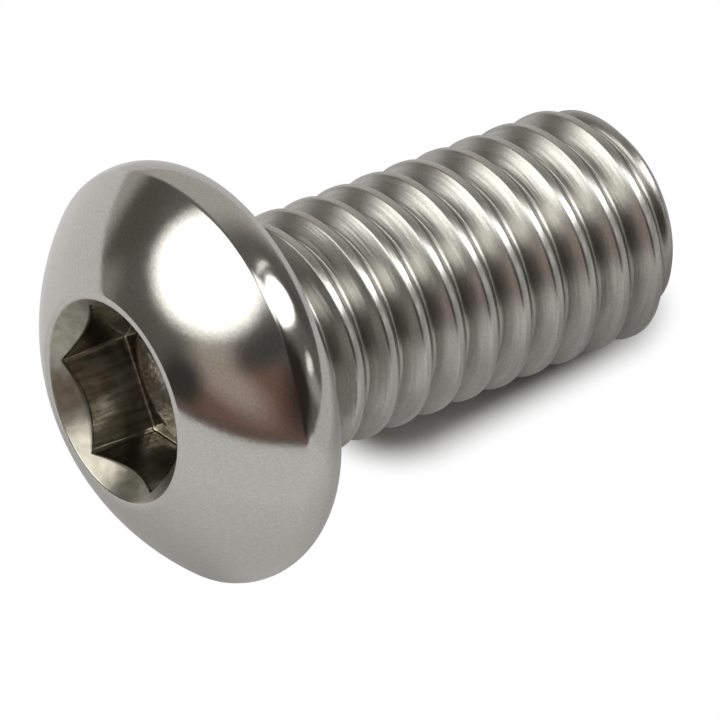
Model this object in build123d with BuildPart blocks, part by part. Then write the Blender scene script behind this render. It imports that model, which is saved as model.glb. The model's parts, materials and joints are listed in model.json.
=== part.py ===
from build123d import *
from math import asin, atan2, cos, degrees, hypot, radians, sin, sqrt, tan
import os

# A button head screw, M6 x 12, with a hexagon socket: cold formed in one piece, with a
# right-hand coarse thread that is rolled nearly up to the head.
# Distances along the screw are measured from the face under the head, and grow towards the tip.

# Length and thread
length = 12.0
pitch = 1.0
crest_diameter = 5.9
thread_depth = 0.57
root_flat = 0.22
flank_angle = 60.0
plain_neck = 0.65
run_out = 1.1
neck_fillet = 0.3
chamfer_length = 0.55
tip_diameter = 4.7

# Head: a dome that ends in an edge, over a rounded rim
head_diameter = 10.4
head_height = 3.05
top_diameter = 5.4
dome_radius = 6.55
rim_height = 1.15
rim_radius = 1.1
rim_middle = 0.74

# Hexagon socket, with a countersunk mouth and a shallow point at its bottom
socket_width = 4.05
socket_depth = 2.1
mouth_diameter = 5.1
mouth_angle = 90.0
point_diameter = 3.8
point_angle = 140.0
socket_turn = 16.0

# How far the cutting shape of the thread stands out of the crests, and its run-out reaches
# under the roots
overcut = 0.1

crest_radius = crest_diameter / 2
root_radius = crest_radius - thread_depth
flank_slope = tan(radians(flank_angle / 2))
crest_gap = root_flat + 2 * thread_depth * flank_slope
chamfer_start = length - chamfer_length

# The rim's rounding is an arc about rim_centre, from the dome's edge to the bearing face.
rim_centre = head_diameter / 2 - rim_radius
dome_edge = rim_centre + sqrt(rim_radius**2 - (rim_height - rim_middle) ** 2)
bearing_edge = rim_centre + sqrt(rim_radius**2 - rim_middle**2)

# The screw lies on its rim and on the last full crest of its thread, which sets its tilt.
seat_span = hypot(chamfer_start + rim_middle, rim_centre - crest_radius)
tilt = atan2(rim_centre - crest_radius, chamfer_start + rim_middle) + asin(rim_radius / seat_span)
seat_height = chamfer_start * sin(tilt) + crest_radius * cos(tilt)

# The origin is on the ground, under the middle between the head's top and the tip.
back_reach = head_height * cos(tilt) + top_diameter / 2 * sin(tilt)
front_reach = length * cos(tilt) + tip_diameter / 2 * sin(tilt)
seat_place = (back_reach - front_reach) / 2

face_centre = Vector(seat_place, 0, seat_height)
towards_tip = Vector(cos(tilt), 0, -sin(tilt))
upwards = Vector(sin(tilt), 0, cos(tilt))
screw_axis = Axis(face_centre, towards_tip)


def half_section(distance):
    """A plane through the axis: local x runs out from the axis, local y towards the tip."""
    foot = face_centre + towards_tip * distance
    return Plane(origin=foot, x_dir=upwards, z_dir=upwards.cross(towards_tip))


def cross_section(distance):
    """The plane square to the axis at a distance from the face under the head."""
    return Plane(origin=face_centre + towards_tip * distance, x_dir=upwards, z_dir=towards_tip)


# The thread's groove starts inside the neck. It is turned so that on the lowest line of the
# shank its last full crest ends where the tip's chamfer starts.
groove_mouth = root_flat + 2 * (thread_depth + overcut) * flank_slope
groove_start = plain_neck - pitch / 2
groove_run = length - groove_start + pitch
groove_end = chamfer_start + crest_gap / 2
groove_side = upwards.rotate(screw_axis, 180 - 360 * (groove_end - groove_start) / pitch)


def groove_edge(radius, offset):
    """A helix that one corner of the groove's section follows."""
    foot = face_centre + towards_tip * (groove_start + offset)
    return Plane(origin=foot, x_dir=groove_side, z_dir=towards_tip) * Helix(pitch, groove_run, radius)


# The cutting shape of the thread has a flat root and straight flanks, ruled between the helices
# of its corners, and a flat face across each end.
groove_edges = [
    groove_edge(root_radius, -root_flat / 2),
    groove_edge(crest_radius + overcut, -groove_mouth / 2),
    groove_edge(crest_radius + overcut, groove_mouth / 2),
    groove_edge(root_radius, root_flat / 2),
]
groove_sides = [
    Face.make_surface_from_curves(edge, groove_edges[place - 1])
    for place, edge in enumerate(groove_edges)
]
groove_ends = [Face(Wire.make_polygon([edge @ end for edge in groove_edges])) for end in (0, 1)]
thread_groove = Solid(Shell(groove_sides + groove_ends))

with BuildPart() as button_head_screw:
    # The shank with its chamfered tip. It starts inside the head, and its thread is cut before
    # the head is added.
    with BuildSketch(half_section(0)):
        with BuildLine():
            Polyline(
                (0, -pitch),
                (crest_radius, -pitch),
                (crest_radius, chamfer_start),
                (tip_diameter / 2, length),
                (0, length),
                close=True,
            )
        make_face()
    revolve(axis=screw_axis)

    add(thread_groove, mode=Mode.SUBTRACT)

    # The head, its filleted neck, and the run-out: a short cone over which the groove grows
    # shallower towards the head.
    with BuildSketch(half_section(0)):
        cone_reach = run_out * (1 + overcut / thread_depth)
        with BuildLine():
            RadiusArc(
                (top_diameter / 2, -head_height),
                (dome_edge, -rim_height),
                -dome_radius,
            )
            ThreePointArc(
                (dome_edge, -rim_height),
                (head_diameter / 2, -rim_middle),
                (bearing_edge, 0),
            )
            Line((bearing_edge, 0), (crest_radius + neck_fillet, 0))
            RadiusArc(
                (crest_radius + neck_fillet, 0),
                (crest_radius, neck_fillet),
                -neck_fillet,
            )
            Polyline(
                (crest_radius, neck_fillet),
                (crest_radius, plain_neck),
                (root_radius - overcut, plain_neck + cone_reach),
                (0, plain_neck + cone_reach),
                (0, -head_height),
                (top_diameter / 2, -head_height),
            )
        make_face()
    revolve(axis=screw_axis)

    # The socket: a hexagon, its countersunk mouth and its shallow point
    with BuildSketch(cross_section(-head_height)):
        RegularPolygon(
            radius=socket_width / 2,
            side_count=6,
            major_radius=False,
            rotation=socket_turn,
        )
    extrude(amount=socket_depth, mode=Mode.SUBTRACT)
    with BuildSketch(half_section(-head_height)):
        mouth_depth = (mouth_diameter - socket_width) / 2 / tan(radians(mouth_angle / 2))
        with BuildLine():
            Polyline(
                (0, 0),
                (mouth_diameter / 2, 0),
                (socket_width / 2, mouth_depth),
                (0, mouth_depth),
                close=True,
            )
        make_face()
    with BuildSketch(half_section(-head_height + socket_depth)):
        point_depth = point_diameter / 2 / tan(radians(point_angle / 2))
        with BuildLine():
            Polyline(
                (0, 0),
                (point_diameter / 2, 0),
                (0, point_depth),
                close=True,
            )
        make_face()
    revolve(axis=screw_axis, mode=Mode.SUBTRACT)

button_head_screw.part.label = "button_head_screw"

os.makedirs("parts", exist_ok=True)
export_step(button_head_screw.part, "parts/button_head_screw.step")

box = button_head_screw.part.bounding_box()
print("tilt", round(degrees(tilt), 2), "face under the head", face_centre, "upwards", upwards)
print("volume", round(button_head_screw.part.volume, 1), "valid", button_head_screw.part.is_valid)
print("from", box.min, "to", box.max)
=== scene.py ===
import json
import math

import bmesh
import bpy
from mathutils import Matrix, Vector


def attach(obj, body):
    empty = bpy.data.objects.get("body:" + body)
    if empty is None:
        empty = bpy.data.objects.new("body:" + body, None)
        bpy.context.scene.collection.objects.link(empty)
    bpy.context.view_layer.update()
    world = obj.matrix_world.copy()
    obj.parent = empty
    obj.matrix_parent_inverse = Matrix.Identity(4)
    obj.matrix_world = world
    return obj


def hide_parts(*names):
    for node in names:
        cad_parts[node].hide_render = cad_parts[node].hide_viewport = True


# A button head screw in bright stainless steel: cold formed, with a polished head and a rolled
# thread, lying on its side on a white table. All lengths are in metres.

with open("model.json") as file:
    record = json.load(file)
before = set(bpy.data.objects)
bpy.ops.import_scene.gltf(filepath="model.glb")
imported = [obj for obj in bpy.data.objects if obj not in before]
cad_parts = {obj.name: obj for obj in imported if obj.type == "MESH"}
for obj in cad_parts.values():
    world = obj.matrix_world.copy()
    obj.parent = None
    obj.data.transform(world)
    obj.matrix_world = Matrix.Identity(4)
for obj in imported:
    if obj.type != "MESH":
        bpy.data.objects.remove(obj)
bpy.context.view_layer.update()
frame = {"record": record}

mm = 0.001

# The shank, measured from the face under the head towards the tip. The rolled thread has rounded
# crests and roots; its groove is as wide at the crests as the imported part's.
length = 12.0 * mm
pitch = 1.0 * mm
crest_radius = 2.95 * mm
thread_depth = 0.48 * mm
groove_mouth = 0.878 * mm
root_rounding = 0.1 * mm
crest_land = 0.05 * mm
flank_angle = math.radians(72)
plain_neck = 0.65 * mm
run_out = 1.1 * mm
neck_fillet = 0.3 * mm
chamfer_length = 0.55 * mm
tip_radius = 2.35 * mm

# The head: a dome that ends in an edge, over a rounded rim. It is a hair narrower than 10.4 mm,
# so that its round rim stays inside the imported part's flat facets.
head_radius = 5.199 * mm
head_height = 3.05 * mm
top_radius = 2.7 * mm
dome_radius = 6.55 * mm
rim_height = 1.15 * mm
rim_radius = 1.1 * mm
rim_middle = 0.74 * mm

# The hexagon socket, with a countersunk mouth and a shallow point at its bottom
socket_width = 4.05 * mm
socket_depth = 2.1 * mm
mouth_radius = 2.55 * mm
mouth_angle = math.radians(90)
point_radius = 1.9 * mm
point_angle = math.radians(140)
socket_turn = math.radians(16)

# Every edge of the real screw is broken a little by forming and tumbling, the dome's the most
edge_break = 0.035 * mm
rim_break = 0.05 * mm
socket_ease = 0.04 * mm

# The finished mesh: its steps around the axis, and how near two points are welded to one
steps_around = 144
weld = 0.0015 * mm

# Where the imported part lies: the face under the head, and the way to the tip
mounts = {mount["name"]: mount for mount in frame["record"]["mounts"]}
towards_tip = Vector(mounts["bearing_face"]["axis"]).normalized()
upwards = Vector((-towards_tip.z, 0, towards_tip.x))
socket_top = Vector(mounts["hexagon_socket"]["pos_m"])
face_centre = socket_top + towards_tip * head_height


class Formula:
    """A socket's value, to write node maths as plain expressions."""

    def __init__(self, tree, socket):
        self.tree = tree
        self.socket = socket

    def apply(self, operation, *others):
        return self.tree.maths(operation, self, *others)

    def __add__(self, other):
        return self.apply("ADD", other)

    __radd__ = __add__

    def __sub__(self, other):
        return self.apply("SUBTRACT", other)

    def __rsub__(self, other):
        return self.tree.maths("SUBTRACT", other, self)

    def __mul__(self, other):
        return self.apply("MULTIPLY", other)

    __rmul__ = __mul__

    def __truediv__(self, other):
        return self.apply("DIVIDE", other)

    def __neg__(self):
        return self * -1

    def __pow__(self, other):
        return self.apply("POWER", other)

    def at_least(self, other):
        return self.apply("MAXIMUM", other)

    def at_most(self, other):
        return self.apply("MINIMUM", other)

    def modulo(self, other):
        return self.apply("FLOORED_MODULO", other)

    def cosine(self):
        return self.apply("COSINE")

    def sine(self):
        return self.apply("SINE")

    def arc_cosine(self):
        return self.apply("ARCCOSINE")

    def near(self, other):
        """1 where the two are the same whole number, else 0."""
        return self.apply("COMPARE", other, 0.5)

    def rise(self, low, high):
        """0 below low, 1 above high, with a smooth rise between."""
        ranged = self.tree.node(
            "ShaderNodeMapRange",
            {"interpolation_type": "SMOOTHSTEP"},
            {"Value": self, "From Min": low, "From Max": high},
        )
        return Formula(self.tree, ranged.outputs["Result"])


class Tree:
    """A node tree, with the one method that makes all its nodes."""

    def __init__(self, owner):
        self.nodes = owner.nodes
        self.links = owner.links

    def node(self, kind, settings=None, sockets=None):
        made = self.nodes.new(kind)
        for name, value in (settings or {}).items():
            setattr(made, name, value)
        for name, value in (sockets or {}).items():
            self.plug(made.inputs[name], value)
        return made

    def plug(self, socket, value):
        if isinstance(value, Formula):
            value = value.socket
        if isinstance(value, bpy.types.NodeSocket):
            self.links.new(value, socket)
        else:
            socket.default_value = value

    def maths(self, operation, *terms):
        made = self.node("ShaderNodeMath", {"operation": operation}, dict(enumerate(terms)))
        return Formula(self, made.outputs[0])

    def difference(self, first, second):
        """One vector less another."""
        made = self.node(
            "ShaderNodeVectorMath", {"operation": "SUBTRACT"}, {0: first, 1: tuple(second)}
        )
        return made.outputs["Vector"]

    def along(self, vector, direction):
        """How far a vector reaches in a direction."""
        made = self.node(
            "ShaderNodeVectorMath", {"operation": "DOT_PRODUCT"}, {0: vector, 1: tuple(direction)}
        )
        return Formula(self, made.outputs["Value"])

    def split(self, vector):
        made = self.node("ShaderNodeSeparateXYZ", None, {0: vector})
        return [Formula(self, made.outputs[axis]) for axis in "XYZ"]

    def join(self, x, y, z):
        return self.node("ShaderNodeCombineXYZ", None, {0: x, 1: y, 2: z}).outputs[0]

    def noise(self, vector, scale, detail):
        made = self.node(
            "ShaderNodeTexNoise", None, {"Vector": vector, "Scale": scale, "Detail": detail}
        )
        return Formula(self, made.outputs["Fac"])

    def blend(self, share, first, second):
        """A colour between two others."""
        made = self.node(
            "ShaderNodeMix", {"data_type": "RGBA"}, {"Factor": share, 6: first, 7: second}
        )
        return made.outputs[2]

    def glow(self, colour):
        made = self.node("ShaderNodeEmission", None, {"Color": colour, "Strength": 1.0})
        return made.outputs[0]

    def matt(self, colour):
        return self.node("ShaderNodeBsdfDiffuse", None, {"Color": colour}).outputs[0]

    def mix(self, share, first, second):
        """A surface between two others."""
        return self.node("ShaderNodeMixShader", None, {0: share, 1: first, 2: second}).outputs[0]


# The profile is half the screw's section, from the bottom of the socket round to the tip.
# A point has two numbers and a kind, which says what they mean:
# TURNED is a distance from the axis, and a place along it.
# WALL is how far inside the hexagon's wall it lies, and a place along the axis.
# COUNTERSINK is a share of the way from the wall to the mouth's circle, and a depth under the cone.
# THREAD is a depth under the crests, and a place along the axis that climbs with the helix.
TURNED, WALL, COUNTERSINK, THREAD = range(4)


def of_kind(kind, points):
    return [(out, place, kind) for out, place in points]


def arc(centre, radius, start, end, steps):
    """Points on an arc in the half section, from one angle to another."""
    turns = [start + (end - start) * step / steps for step in range(steps + 1)]
    return [(centre[0] + radius * math.cos(a), centre[1] + radius * math.sin(a)) for a in turns]


def arc_between(start, end, radius, steps):
    """Points on an arc from one point to another, which bulges away from the axis."""
    start, end = Vector(start), Vector(end)
    chord = end - start
    inwards = Vector((-chord.y, chord.x)).normalized()
    centre = (start + end) / 2 + inwards * math.sqrt(radius**2 - (chord.length / 2) ** 2)
    first = math.atan2(start.y - centre.y, start.x - centre.x)
    last = math.atan2(end.y - centre.y, end.x - centre.x)
    return arc(centre, radius, first, last, steps)


def broken(corner, before, after, size):
    """Points that break a sharp corner between two straight or nearly straight lines."""
    corner, before, after = Vector(corner), Vector(before), Vector(after)
    back = (before - corner).normalized() * size
    on = (after - corner).normalized() * size
    beside = 1.6
    points = [corner + back * beside, corner + back]
    points += [corner + back * (1 - t) ** 2 + on * t**2 for t in (0.25, 0.5, 0.75)]
    points += [corner + on, corner + on * beside]
    return [tuple(point) for point in points]


def socket_section():
    """From the middle of the socket's bottom, over its wall and its countersink."""
    floor = socket_depth - head_height
    point_depth = point_radius / math.tan(point_angle / 2)
    shares = (0, 0.3, 0.6, 0.9, 0.97, 1)
    cone = [(point_radius * share, floor + point_depth * (1 - share)) for share in shares]
    cone.append((point_radius * 1.015, floor))
    middle = 0.3 * socket_ease
    wall = [(1.5 * socket_ease, floor), (socket_ease, floor), (middle, floor - middle)]
    wall += [(0, floor - socket_ease), (0, floor - 2 * socket_ease)]
    wall += [(0, floor - share * socket_depth) for share in (0.2, 0.35, 0.5, 0.65)]
    countersink = [(0, 1.75 * socket_ease), (0, socket_ease), (0.012, middle)]
    countersink += [(share, 0) for share in (0.07, 0.12, 0.3, 0.5, 0.7)]
    return of_kind(TURNED, cone) + of_kind(WALL, wall) + of_kind(COUNTERSINK, countersink)


def head_section():
    """From the socket's mouth, over the dome and round the rim to the fillet under the head."""
    mouth = (mouth_radius, -head_height)
    down_the_cone = (mouth_radius - mm, mm - head_height)
    dome_start = (top_radius, -head_height)
    rim_centre = head_radius - rim_radius
    dome_edge = rim_centre + math.sqrt(rim_radius**2 - (rim_height - rim_middle) ** 2)
    dome = arc_between(dome_start, (dome_edge, -rim_height), dome_radius, 30)
    rim_first = -math.asin((rim_height - rim_middle) / rim_radius)
    rim_last = math.asin(rim_middle / rim_radius)
    rim = arc((rim_centre, -rim_middle), rim_radius, rim_first, rim_last, 20)
    points = broken(mouth, down_the_cone, dome_start, edge_break)
    points += broken(dome_start, mouth, dome[1], edge_break)
    points += dome[1:-2]
    points += broken(rim[0], dome[-2], rim[2], rim_break)
    points += rim[3:-1]
    points += broken(rim[-1], rim[-2], (crest_radius, 0), edge_break)
    points += [(4.4 * mm, 0), (3.8 * mm, 0), (crest_radius + neck_fillet * 1.15, 0)]
    fillet_centre = (crest_radius + neck_fillet, neck_fillet)
    points += arc(fillet_centre, neck_fillet, -math.pi / 2, -math.pi, 6)
    return of_kind(TURNED, points)


def thread_form():
    """One pitch of the rolled thread, from root to root: (place, depth under the crests)."""
    lean = flank_angle / 2
    reach = pitch / 2 - crest_land - thread_depth * math.tan(lean)
    rounded = math.cos(lean) - (1 - math.sin(lean)) * math.tan(lean)
    crest_rounding = reach / rounded - root_rounding
    root = arc((0, 0), root_rounding, -math.pi / 2, -lean, 4)
    root = [(x, thread_depth - root_rounding - y) for x, y in root]
    crest = arc((0, 0), crest_rounding, math.pi - lean, math.pi / 2, 5)
    crest = [(pitch / 2 - crest_land + x, crest_rounding - y) for x, y in crest]
    middle = ((root[-1][0] + crest[0][0]) / 2, (root[-1][1] + crest[0][1]) / 2)
    rise = root + [middle] + crest
    fall = [(pitch - x, y) for x, y in reversed(rise[1:])]
    return rise + fall


def thread_section():
    """The thread's profile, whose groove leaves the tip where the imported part's does.

    Its lines follow the helix, so they start a turn and more before the neck's end.
    """
    early_turns = 2.1
    last_root = length - chamfer_length + groove_mouth / 2 - pitch / 2
    turns = math.ceil((last_root - plain_neck) / pitch + early_turns)
    roots = [last_root - pitch * turn for turn in range(turns, -1, -1)]
    return of_kind(THREAD, [(depth, root + x) for root in roots for x, depth in thread_form()])


def tip_section():
    """The flat face of the tip, from its rim to the axis."""
    rings = [tip_radius, tip_radius - 0.03 * mm]
    rings += [tip_radius * share for share in (0.9, 0.5, 0)]
    return of_kind(TURNED, [(ring, length) for ring in rings])


def profile_points():
    """The half section as bare points, for the tree that turns it."""
    points = socket_section() + head_section() + thread_section() + tip_section()
    mesh = bpy.data.meshes.new("screw_profile")
    mesh.from_pydata([(out, 0, place) for out, place, kind in points], [], [])
    kinds = mesh.attributes.new("kind", "INT", "POINT")
    kinds.data.foreach_set("value", [kind for out, place, kind in points])
    return bpy.data.objects.new("screw_profile", mesh)


def turning_tree():
    """The tree that turns the profile into the screw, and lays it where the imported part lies."""
    group = bpy.data.node_groups.new("turned_screw", "GeometryNodeTree")
    interface = group.interface
    interface.new_socket("Geometry", in_out="INPUT", socket_type="NodeSocketGeometry")
    interface.new_socket("Steps around", in_out="INPUT", socket_type="NodeSocketInt")
    for name in (
        "Length", "Pitch", "Crest radius", "Plain neck", "Run-out", "Tip radius", "Chamfer length",
        "Socket width", "Socket turn", "Mouth radius", "Mouth slope", "Head height", "Tilt",
        "Weld distance",
    ):
        interface.new_socket(name, in_out="INPUT", socket_type="NodeSocketFloat")
    interface.new_socket("Seat", in_out="INPUT", socket_type="NodeSocketVector")
    interface.new_socket("Steel", in_out="INPUT", socket_type="NodeSocketMaterial")
    interface.new_socket("Geometry", in_out="OUTPUT", socket_type="NodeSocketGeometry")
    tree = Tree(group)
    given = tree.node("NodeGroupInput").outputs

    def size(name):
        return Formula(tree, given[name])

    position = tree.node("GeometryNodeInputPosition").outputs[0]
    marked = tree.node("GeometryNodeInputNamedAttribute", {"data_type": "INT"}, {"Name": "kind"})
    count = tree.node(
        "GeometryNodeAttributeDomainSize", {"component": "MESH"}, {"Geometry": given["Geometry"]}
    ).outputs["Point Count"]

    # A sheet of points: across it goes the turn about the axis, down it goes the profile
    sheet = tree.node(
        "GeometryNodeMeshGrid",
        None,
        {
            "Size X": 1.0,
            "Size Y": 1.0,
            "Vertices X": size("Steps around") + 1,
            "Vertices Y": count,
        },
    ).outputs["Mesh"]
    across, down, _ = tree.split(position)
    station = tree.maths("ROUND", (down + 0.5) * (Formula(tree, count) - 1))

    def sampled(data_type, value):
        made = tree.node(
            "GeometryNodeSampleIndex",
            {"data_type": data_type, "domain": "POINT", "clamp": True},
            {"Geometry": given["Geometry"], "Value": value, "Index": station},
        )
        return made.outputs["Value"]

    out, _, place = tree.split(sampled("FLOAT_VECTOR", position))
    kind = Formula(tree, sampled("INT", marked.outputs["Attribute"]))
    angle = (across + 0.5) * (2 * math.pi) + size("Socket turn")

    # The hexagon's wall, from the middle of each flat to its corners, and the cone over it
    sixth = (angle - size("Socket turn")).modulo(math.pi / 3) - math.pi / 6
    wall = size("Socket width") / 2 / sixth.cosine()
    countersink = wall + (size("Mouth radius") - wall) * out
    sunk = (size("Mouth radius") - countersink) * size("Mouth slope") - size("Head height") + place

    # The thread's lines climb a pitch in a turn, and stop at the neck and at the tip. The groove
    # grows to its depth over the run-out, and the chamfer cuts it off.
    climbed = (place + size("Pitch") * angle / (2 * math.pi)).at_least(size("Plain neck"))
    climbed = climbed.at_most(size("Length"))
    cut = ((climbed - size("Plain neck")) / size("Run-out")).at_most(1)
    threaded = size("Crest radius") - out * cut * (2 - cut)
    chamfer = (size("Crest radius") - size("Tip radius")) / size("Chamfer length")
    threaded = threaded.at_most(size("Tip radius") + (size("Length") - climbed) * chamfer)

    is_wall, is_sunk, is_thread = (kind.near(value) for value in (WALL, COUNTERSINK, THREAD))
    is_turned = 1 - is_wall - is_sunk - is_thread
    radius = out * is_turned + (wall - out) * is_wall + countersink * is_sunk + threaded * is_thread
    height = place * (is_turned + is_wall) + sunk * is_sunk + climbed * is_thread
    placed = tree.node(
        "GeometryNodeSetPosition",
        None,
        {
            "Geometry": sheet,
            "Position": tree.join(-(radius * angle.cosine()), -(radius * angle.sine()), height),
        },
    )
    closed = tree.node(
        "GeometryNodeMergeByDistance",
        None,
        {"Geometry": placed.outputs[0], "Distance": size("Weld distance")},
    )
    smooth = tree.node("GeometryNodeSetShadeSmooth", None, {"Geometry": closed.outputs[0]})

    # The axis leans back by the tilt at which the screw lies
    laid = tree.node(
        "GeometryNodeTransform",
        None,
        {
            "Geometry": smooth.outputs[0],
            "Translation": given["Seat"],
            "Rotation": tree.join(0.0, size("Tilt") + math.pi / 2, 0.0),
        },
    )
    real = tree.node("GeometryNodeRealizeInstances", None, {"Geometry": laid.outputs[0]})
    painted = tree.node(
        "GeometryNodeSetMaterial", None, {"Geometry": real.outputs[0], "Material": given["Steel"]}
    )
    tree.node("NodeGroupOutput", None, {"Geometry": painted.outputs[0]})
    return group


def made_by(group, source, values, name):
    """Runs a tree on an object and keeps what comes out as a plain mesh."""
    bpy.context.scene.collection.objects.link(source)
    modifier = source.modifiers.new("tree", "NODES")
    modifier.node_group = group
    for item in group.interface.items_tree:
        if item.in_out == "INPUT" and item.name in values:
            modifier[item.identifier] = values[item.name]
    bpy.context.view_layer.update()
    graph = bpy.context.evaluated_depsgraph_get()
    mesh = bpy.data.meshes.new_from_object(source.evaluated_get(graph), depsgraph=graph)
    mesh.name = name
    source.modifiers.remove(modifier)
    bpy.data.objects.remove(source)
    piece = bpy.data.objects.new(name, mesh)
    bpy.context.scene.collection.objects.link(piece)
    return piece


def faces_out(piece):
    """Merges what is left of doubled points, and turns all faces outwards."""
    shape = bmesh.new()
    shape.from_mesh(piece.data)
    bmesh.ops.remove_doubles(shape, verts=shape.verts, dist=0.0001 * mm)
    bmesh.ops.dissolve_degenerate(shape, edges=shape.edges, dist=0.00001 * mm)
    if shape.calc_volume(signed=True) < 0:
        bmesh.ops.reverse_faces(shape, faces=shape.faces)
    print("screw volume, mm3:", round(shape.calc_volume() / mm**3, 2), "faces", len(shape.faces))
    print("open edges:", sum(1 for edge in shape.edges if len(edge.link_faces) != 2))
    shape.to_mesh(piece.data)
    shape.free()


def empty_material(name):
    """A material with nothing in its tree, and the tree."""
    material = bpy.data.materials.new(name)
    material.use_nodes = True
    material.node_tree.nodes.clear()
    return material, Tree(material.node_tree)


def steel():
    """Bright steel: polished head, satin thread, punch-marked socket; shade painted in socket and
    grooves.
    """
    polished, satin = (0.54, 0.53, 0.5, 1), (0.42, 0.41, 0.38, 1)
    # A dark grey painted into the thread's grooves as shade
    painted_groove_shade = (0.2, 0.19, 0.17, 1)
    # Dark and light for the socket: its punch marks, in a painted shade darker than the steel
    dark_punch_marks_painted_shade, light_punch_marks_painted_shade = (0.19, 0.175, 0.14, 1), (0.46, 0.44, 0.37, 1)

    # Where a point is on the screw, in millimetres
    material, tree = empty_material("bright_steel")
    here = tree.node("ShaderNodeTexCoord").outputs["Object"]
    seat = tree.difference(here, face_centre)
    along = tree.along(seat, towards_tip) / mm
    up = tree.along(seat, upwards) / mm
    side = tree.along(seat, (0, -1, 0)) / mm
    out = (up * up + side * side) ** 0.5
    crest, mouth, tip = crest_radius / mm, mouth_radius / mm, length / mm

    # The zones of the finish, and of the shade painted into the thread's grooves and the socket
    on_shank = along.rise(-0.05, 0.1) * (1 - out.rise(crest + 0.35, crest + 0.65))
    # Painted shade: the thread's grooves, below the crests and short of the tip, are coloured darker
    in_painted_groove_shade = on_shank * (1 - out.rise(crest - 0.5, crest - 0.1))
    in_painted_groove_shade = in_painted_groove_shade * (1 - along.rise(tip - 0.3, tip - 0.1))
    in_socket = (1 - out.rise(mouth - 0.05, mouth + 0.01)) * (1 - along.rise(-0.6, -0.4))
    off_cone = out + along - (mouth_radius - head_height) / mm
    on_cone = in_socket * (1 - (off_cone * off_cone).rise(0.0005, 0.003))

    # Tumbling leaves the polish a little uneven, the thread's dies leave streaks that run round
    # the shank, and the socket's punch leaves dents, and marks along the walls
    in_millimetres = tree.join(along, up, side)
    uneven = tree.noise(in_millimetres, 1.6, 3.0)
    grain = tree.noise(in_millimetres, 14.0, 4.0)
    streaks = tree.noise(tree.join(along * 9, out * 14, up * 0.5), 1.0, 3.0)
    dents = tree.noise(in_millimetres, 4.0, 2.0)
    punch_marks = tree.noise(tree.join(along * 0.7, up * 9, side * 9), 1.0, 2.0)

    roughness = 0.09 + 0.05 * uneven + on_shank * (0.1 + 0.18 * streaks)
    roughness = roughness + in_socket * 0.06 + on_cone * 0.14
    height = uneven * 0.5 + grain * (0.06 + 0.16 * on_shank) + streaks * on_shank * 1.1
    height = height + (dents * 0.8 + punch_marks * (1 - on_cone)) * in_socket
    relief = tree.node(
        "ShaderNodeBump", None, {"Height": height, "Strength": 0.25, "Distance": 0.02 * mm}
    )

    worn = grain.rise(0.3, 0.7) * 0.5 + streaks.rise(0.35, 0.65) * on_shank * 0.5
    colour = tree.blend(worn, polished, satin)
    # Painted shade darkens the grooves
    colour = tree.blend(in_painted_groove_shade * 0.4, colour, painted_groove_shade)
    # The socket is coloured dark with its punch marks, a painted shade in the recess; its cone is
    # lighter
    marks = punch_marks.rise(0.35, 0.65) * (1 - on_cone) * 0.6 + dents.rise(0.3, 0.7) * 0.4
    punch_marks_and_painted_shade = tree.blend(marks + on_cone * 0.3, dark_punch_marks_painted_shade, light_punch_marks_painted_shade)
    colour = tree.blend(in_socket * 0.9, colour, punch_marks_and_painted_shade)
    shader = tree.node(
        "ShaderNodeBsdfPrincipled",
        None,
        {"Base Color": colour, "Metallic": 1.0, "Roughness": roughness, "Normal": relief.outputs[0]},
    )
    tree.node("ShaderNodeOutputMaterial", None, {"Surface": shader.outputs[0]})
    return material


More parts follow.
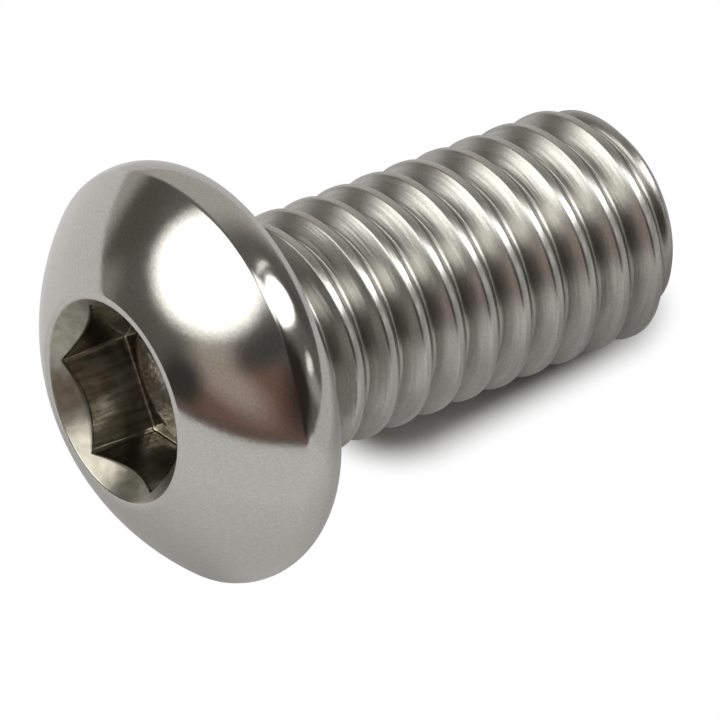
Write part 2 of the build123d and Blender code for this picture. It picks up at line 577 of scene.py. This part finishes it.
def table():
    """A matt white table, 6 m wide, which also carries the look of the screw's soft shadow.

    The camera sees it paper white, but for the shadow close round the screw, which is painted there
    in grey, darker towards the tip, over the real shadow. The steel sees it with painted shade,
    dimmer where it is near, and from 7 or 8 cm in front of the head it sees a painted dark room
    instead.
    """
    half = 3.0
    corners = [(-half, -half, 0), (half, -half, 0), (half, half, 0), (-half, half, 0)]
    mesh = bpy.data.meshes.new("table")
    mesh.from_pydata(corners, [], [(0, 1, 2, 3)])
    top = bpy.data.objects.new("table", mesh)
    bpy.context.scene.collection.objects.link(top)

    # The shadow, painted over the real one, in millimetres along the table: under the shank, and
    # round the head's seat
    shank_from, shank_to, head_seat = 1.1, 6.6, -5.85
    material, tree = empty_material("white_table_painted_shadow")
    here = tree.node("ShaderNodeTexCoord").outputs["Object"]
    x, y = (place / mm for place in tree.split(here)[:2])
    beyond = (x - shank_to).at_least(0) + (shank_from - x).at_least(0)
    from_shank = (beyond * beyond + y * y) ** 0.5
    from_head = ((x - head_seat) * (x - head_seat) + y * y) ** 0.5
    clear = from_shank.rise(1.05, 2.45) * from_head.rise(0, 0.6)
    far_off = from_shank.rise(5, 20)
    # Painted reflection: from 68 to 86 mm in front of the head the steel sees a dark room on the
    # table
    where_dark_room_is_painted = (-0.88 * x - 0.4 * y).rise(68, 86)

    rays = tree.node("ShaderNodeLightPath").outputs
    camera_ray = Formula(tree, rays["Is Camera Ray"])
    glossy_ray = Formula(tree, rays["Is Glossy Ray"])
    # Painted shadow: close round the screw the table is a grey darker than its white, lighter near
    # the head
    painted_shadow_grey = (0.7 - 0.3 * x.rise(0.5, 6.5)) * (1 - 0.22 * glossy_ray)
    # and darker towards the tip, and darker again where the steel reflects it
    matt_painted_shadow = tree.matt(tree.join(painted_shadow_grey, painted_shadow_grey, painted_shadow_grey))
    paper = tree.glow((1, 1, 1, 1))
    # A dim glow that only the steel sees: a painted reflection of a dark room
    painted_dark_room = tree.glow((0.16, 0.11, 0.09, 1))
    white = tree.matt((0.9, 0.9, 0.9, 1))
    # The camera sees paper white outside the painted shadow; the steel sees the near table mostly in
    # painted shade
    whiteness = clear * camera_ray + (0.1 + 0.42 * far_off) * glossy_ray
    seen = tree.mix(whiteness, matt_painted_shadow, paper)
    seen = tree.mix(where_dark_room_is_painted * glossy_ray, seen, painted_dark_room)
    surface = tree.mix((camera_ray + glossy_ray).at_most(1), white, seen)
    tree.node("ShaderNodeOutputMaterial", None, {"Surface": surface})
    mesh.materials.append(material)


def studio():
    """The room round the table, as the world that lights it: walls, panels and soft lamps.

    Places in it are on a flat map of all that is above the table, as (towards the tip, away from
    the viewer) in degrees from straight above. What comes later covers what comes before.
    """
    grey_room, light_wall = (0.165, 0.16, 0.148, 1), (0.58, 0.57, 0.53, 1)

    # Place, reach, turn, softness of the edge, colour
    walls = (
        ((-66, 22), (26, 34), 0, 0.5, (0.14, 0.135, 0.12)),
        ((-32, 66), (24, 12), 15, 0.5, (0.12, 0.115, 0.1)),
        ((-8, 87), (42, 9), 0, 0.6, (0.48, 0.47, 0.44)),
        ((-62, 76), (11, 15), 30, 0.6, (0.36, 0.35, 0.32)),
    )
    brown_side = (
        ((-74, -34), (40, 24), -62, 0.3, (0.23, 0.135, 0.11)),
        ((-66, -8), (9, 13), 0, 0.7, (0.5, 0.48, 0.43)),
        ((-70, -25), (22, 7.5), -82, 0.7, (0.5, 0.41, 0.35)),
    )
    dark_panels = (
        ((-84, 2), (11, 14), 0, 0.5, (0.05, 0.05, 0.045)),
        ((-48, -27), (14, 8), -20, 0.5, (0.09, 0.085, 0.08)),
        ((-18, -62), (40, 27), 0, 0.25, (0.04, 0.03, 0.025)),
        ((72, -18), (18, 14), 0, 0.6, (0.12, 0.115, 0.11)),
    )
    small_lamps = (
        ((46, -66), (18, 9), 0, 0.6, (0.44, 0.43, 0.41)),
        ((44, -54), (11, 4.5), 25, 0.4, (1.4, 1.4, 1.36)),
        ((28, -3), (20, 1.8), 11, 0.4, (1.5, 1.5, 1.45)),
    )
    large_lamps = (
        ((-10, -17), (19, 11), 0, 0.4, (3.0, 3.0, 2.9)),
        ((27, -23), (27, 12), 12, 0.22, (5.5, 5.5, 5.4)),
        ((-41, 16.5), (22.5, 30), -12, 0.2, (2.7, 2.68, 2.57)),
    )

    world = bpy.data.worlds.new("studio")
    bpy.context.scene.world = world
    world.use_nodes = True
    world.node_tree.nodes.clear()
    tree = Tree(world.node_tree)
    towards = tree.node("ShaderNodeTexCoord").outputs["Generated"]
    x, y, z = tree.split(towards)
    spread = z.arc_cosine() * (180 / math.pi) / ((x * x + y * y) ** 0.5).at_least(0.001)
    tipwards, away = x * spread, y * spread

    def patch(place, reach, turn, soft):
        """1 inside an ellipse on the map, 0 outside it."""
        c, s = math.cos(math.radians(turn)), math.sin(math.radians(turn))
        one = ((tipwards - place[0]) * c + (away - place[1]) * s) / reach[0]
        other = ((away - place[1]) * c - (tipwards - place[0]) * s) / reach[1]
        return 1 - ((one * one + other * other) ** 0.5).rise(1 - soft, 1 + soft)

    shade = tree.blend(tipwards.rise(-12, 12) * away.rise(8, 40), grey_room, light_wall)
    for *shape, colour in walls + brown_side + dark_panels + small_lamps + large_lamps:
        shade = tree.blend(patch(*shape), shade, (*colour, 1))
    light = tree.node("ShaderNodeBackground", None, {"Color": shade, "Strength": 1.0})
    tree.node("ShaderNodeOutputWorld", None, {"Surface": light.outputs[0]})


def camera():
    """A long lens from above and in front of the head, as in the photograph."""
    azimuth, elevation = math.radians(-36.2), math.radians(47.1)
    aside, above_seat, distance = 3.415 * mm, 0.066 * mm, 284.261 * mm
    back = Vector(
        (
            math.sin(azimuth) * math.cos(elevation),
            -math.cos(azimuth) * math.cos(elevation),
            math.sin(elevation),
        )
    )
    right = (-back).cross(Vector((0, 0, 1))).normalized()
    above = right.cross(-back)
    lens = bpy.data.cameras.new("camera")
    lens.lens = 600
    lens.sensor_width = 36
    lens.clip_start = 0.01
    lens.clip_end = 20
    eye = bpy.data.objects.new("camera", lens)
    bpy.context.scene.collection.objects.link(eye)
    eye.matrix_world = Matrix((right, above, back)).transposed().to_4x4()
    eye.location = face_centre + right * aside + above * above_seat + back * distance
    bpy.context.scene.camera = eye


screw = made_by(
    turning_tree(),
    profile_points(),
    {
        "Steps around": steps_around,
        "Length": length,
        "Pitch": pitch,
        "Crest radius": crest_radius,
        "Plain neck": plain_neck,
        "Run-out": run_out,
        "Tip radius": tip_radius,
        "Chamfer length": chamfer_length,
        "Socket width": socket_width,
        "Socket turn": socket_turn,
        "Mouth radius": mouth_radius,
        "Mouth slope": 1 / math.tan(mouth_angle / 2),
        "Head height": head_height,
        "Tilt": math.asin(-towards_tip.z),
        "Weld distance": weld,
        "Seat": face_centre,
        "Steel": steel(),
    },
    "screw",
)
faces_out(screw)
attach(screw, "root")
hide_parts("button_head_screw")

table()
studio()
camera()

scene = bpy.context.scene
scene.view_settings.view_transform = "Standard"
